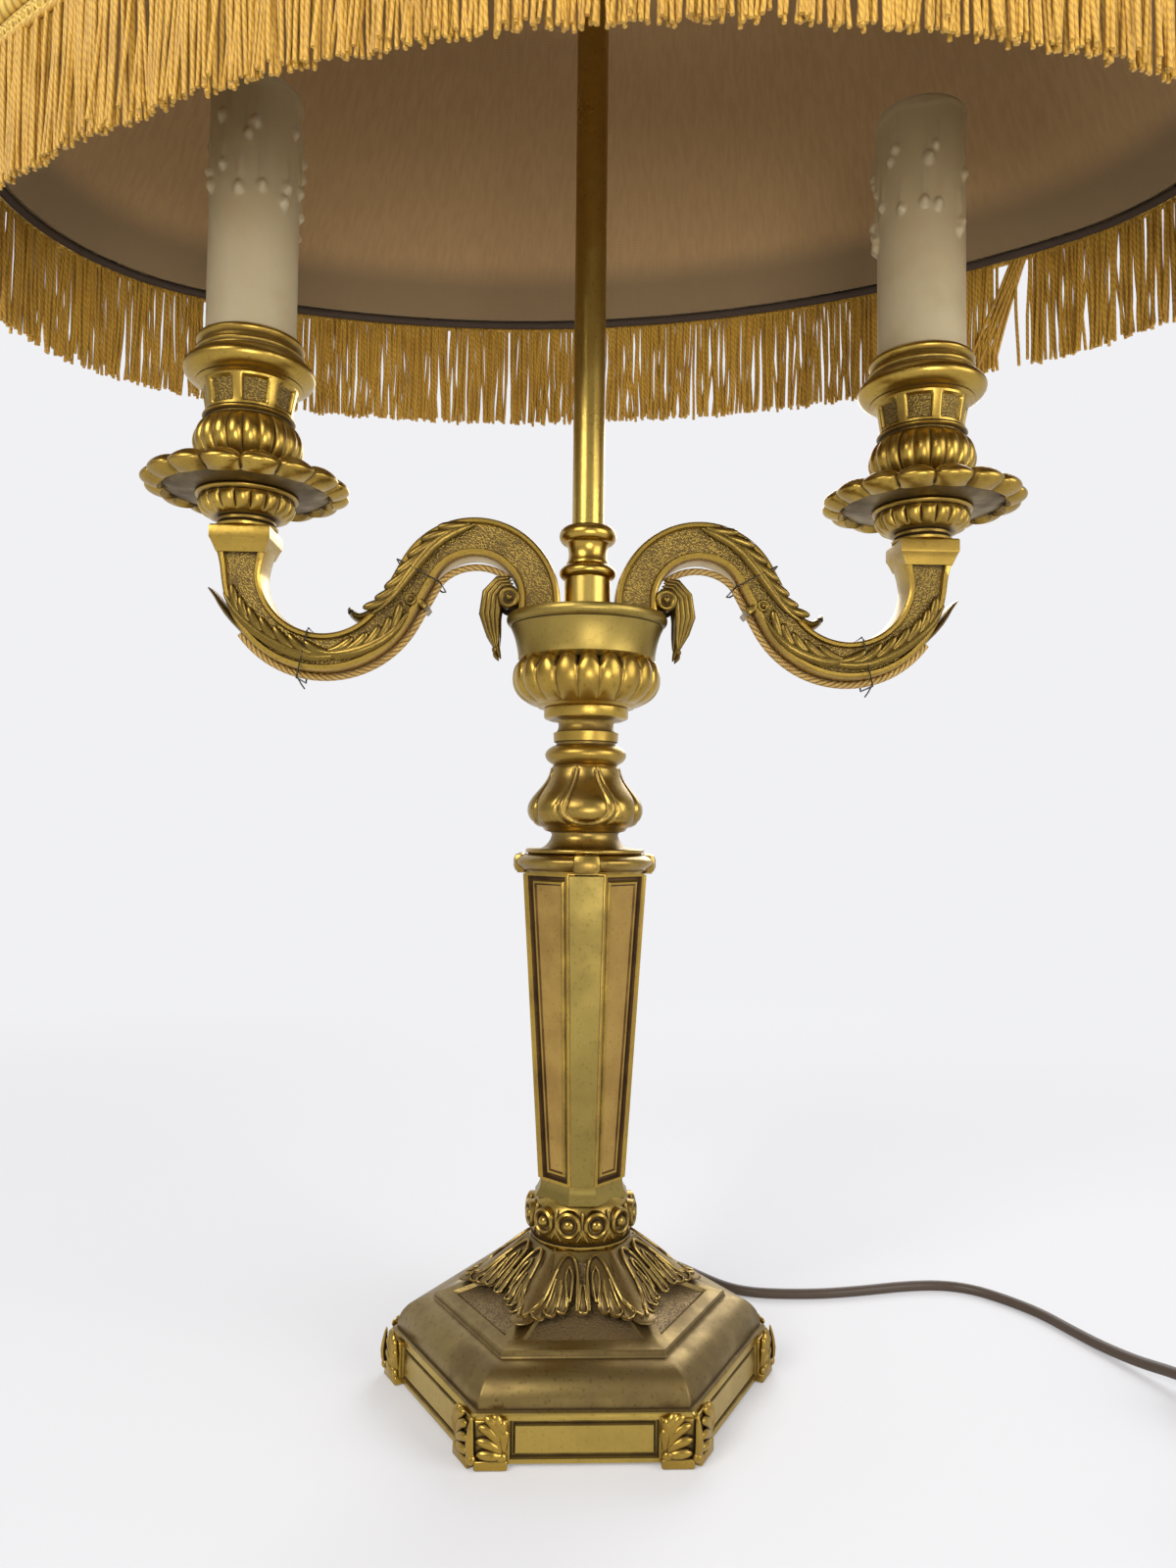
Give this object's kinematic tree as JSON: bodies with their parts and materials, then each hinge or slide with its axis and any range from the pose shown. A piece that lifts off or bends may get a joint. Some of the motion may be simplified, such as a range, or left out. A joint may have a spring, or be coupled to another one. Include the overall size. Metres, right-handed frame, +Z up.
{
  "type": "candelabra table lamp",
  "caption": "Candelabra table lamp: hexagonal footed base, tapered column, scroll arms with candle sleeves, and a turning oval shade with a hanging cord fringe.",
  "frame": {"origin": "middle of the base's resting face, on the axis of the stem", "axes": "+Z up along the stem, +X along the arms towards the right arm, -Y towards the front"},
  "size_m": [0.4632, 0.2603, 0.5932],
  "materials": {
    "gilt_brass": "satin, dark patina in the recesses",
    "steel": "zinc plated",
    "felt": "matte felt",
    "wire": "dark lacquer",
    "cover_fabric": "satin weave",
    "lining_fabric": "slub weave",
    "trim": "gold braid and cord",
    "candle": "wax-like, satin",
    "holder_plastic": "matte",
    "contact_brass": "bright",
    "flex_gold": "braided",
    "cord_brown": "satin sheath",
    "fitting_plastic": "gloss",
    "terminal_plastic": "matte"
  },
  "bodies": {
    "lamp": {"arm_screws": "steel", "arm_ties": "gilt_brass", "base_casting": "gilt_brass", "coil_tie": "fitting_plastic", "column": "gilt_brass", "column_cap": "gilt_brass", "cord_coil": "cord_brown", "corner_mounts": "gilt_brass", "cup_plate": "gilt_brass", "felt_pad": "felt", "flared_cup": "gilt_brass", "gadroon_bowl": "gilt_brass", "holder_nipples": "gilt_brass", "lamp_contacts": "contact_brass", "leaf_collar": "gilt_brass", "left_arm": "gilt_brass", "left_arm_flex": "flex_gold", "left_candle_socket": "gilt_brass", "left_drip_pan": "gilt_brass", "left_lampholder": "holder_plastic", "left_pan_cup": "gilt_brass", "lock_nut": "steel", "lock_washer": "steel", "mains_cord": "cord_brown", "plug_body": "fitting_plastic", "plug_cord": "cord_brown", "plug_pins": "contact_brass", "right_arm": "gilt_brass", "right_arm_flex": "flex_gold", "right_candle_socket": "gilt_brass", "right_drip_pan": "gilt_brass", "right_lampholder": "holder_plastic", "right_pan_cup": "gilt_brass", "riser_leads": "cord_brown", "roundel_ring": "gilt_brass", "shade_seat": "gilt_brass", "spool_collar": "gilt_brass", "stem_rod": "gilt_brass", "stem_sleeve": "gilt_brass", "strain_relief": "cord_brown", "switch_lower": "fitting_plastic", "switch_screws": "steel", "switch_upper": "fitting_plastic", "terminal_block": "terminal_plastic", "tie_tube": "steel", "turned_knop": "gilt_brass", "vase_knop": "gilt_brass"},
    "shade": {"shade_bottom_ring": "wire", "shade_top_ring": "wire", "shade_ribs": "wire", "spider": "wire", "shade_cover": "cover_fabric", "shade_lining": "lining_fabric", "gimp_braid": "trim", "satin_roll": "trim", "fringe": "trim"},
    "finial": {"finial": "gilt_brass"},
    "left_candle": {"left_candle_sleeve": "candle"},
    "right_candle": {"right_candle_sleeve": "candle"},
    "rocker": {"switch_rocker": "fitting_plastic"}
  },
  "joints": [
    {"name": "shade_swivel", "type": "hinge", "parent": "lamp", "child": "shade", "pos_m": [0, 0, 0.565], "axis": [0, 0, 1], "range_deg": [-20, 40]},
    {"name": "finial_turn", "type": "hinge", "parent": "lamp", "child": "finial", "pos_m": [0, 0, 0.575], "axis": [0, 0, 1], "continuous": true},
    {"name": "left_candle_lift", "type": "slide", "parent": "lamp", "child": "left_candle", "axis": [0, 0, 1], "range_m": [0, 0.06]},
    {"name": "right_candle_lift", "type": "slide", "parent": "lamp", "child": "right_candle", "axis": [0, 0, 1], "range_m": [0, 0.06]},
    {"name": "rocker_tip", "type": "hinge", "parent": "lamp", "child": "rocker", "pos_m": [0.19261, -0.05266, 0.011], "axis": [0.9292, 0.3697, 0], "range_deg": [0, 14]}
  ]
}
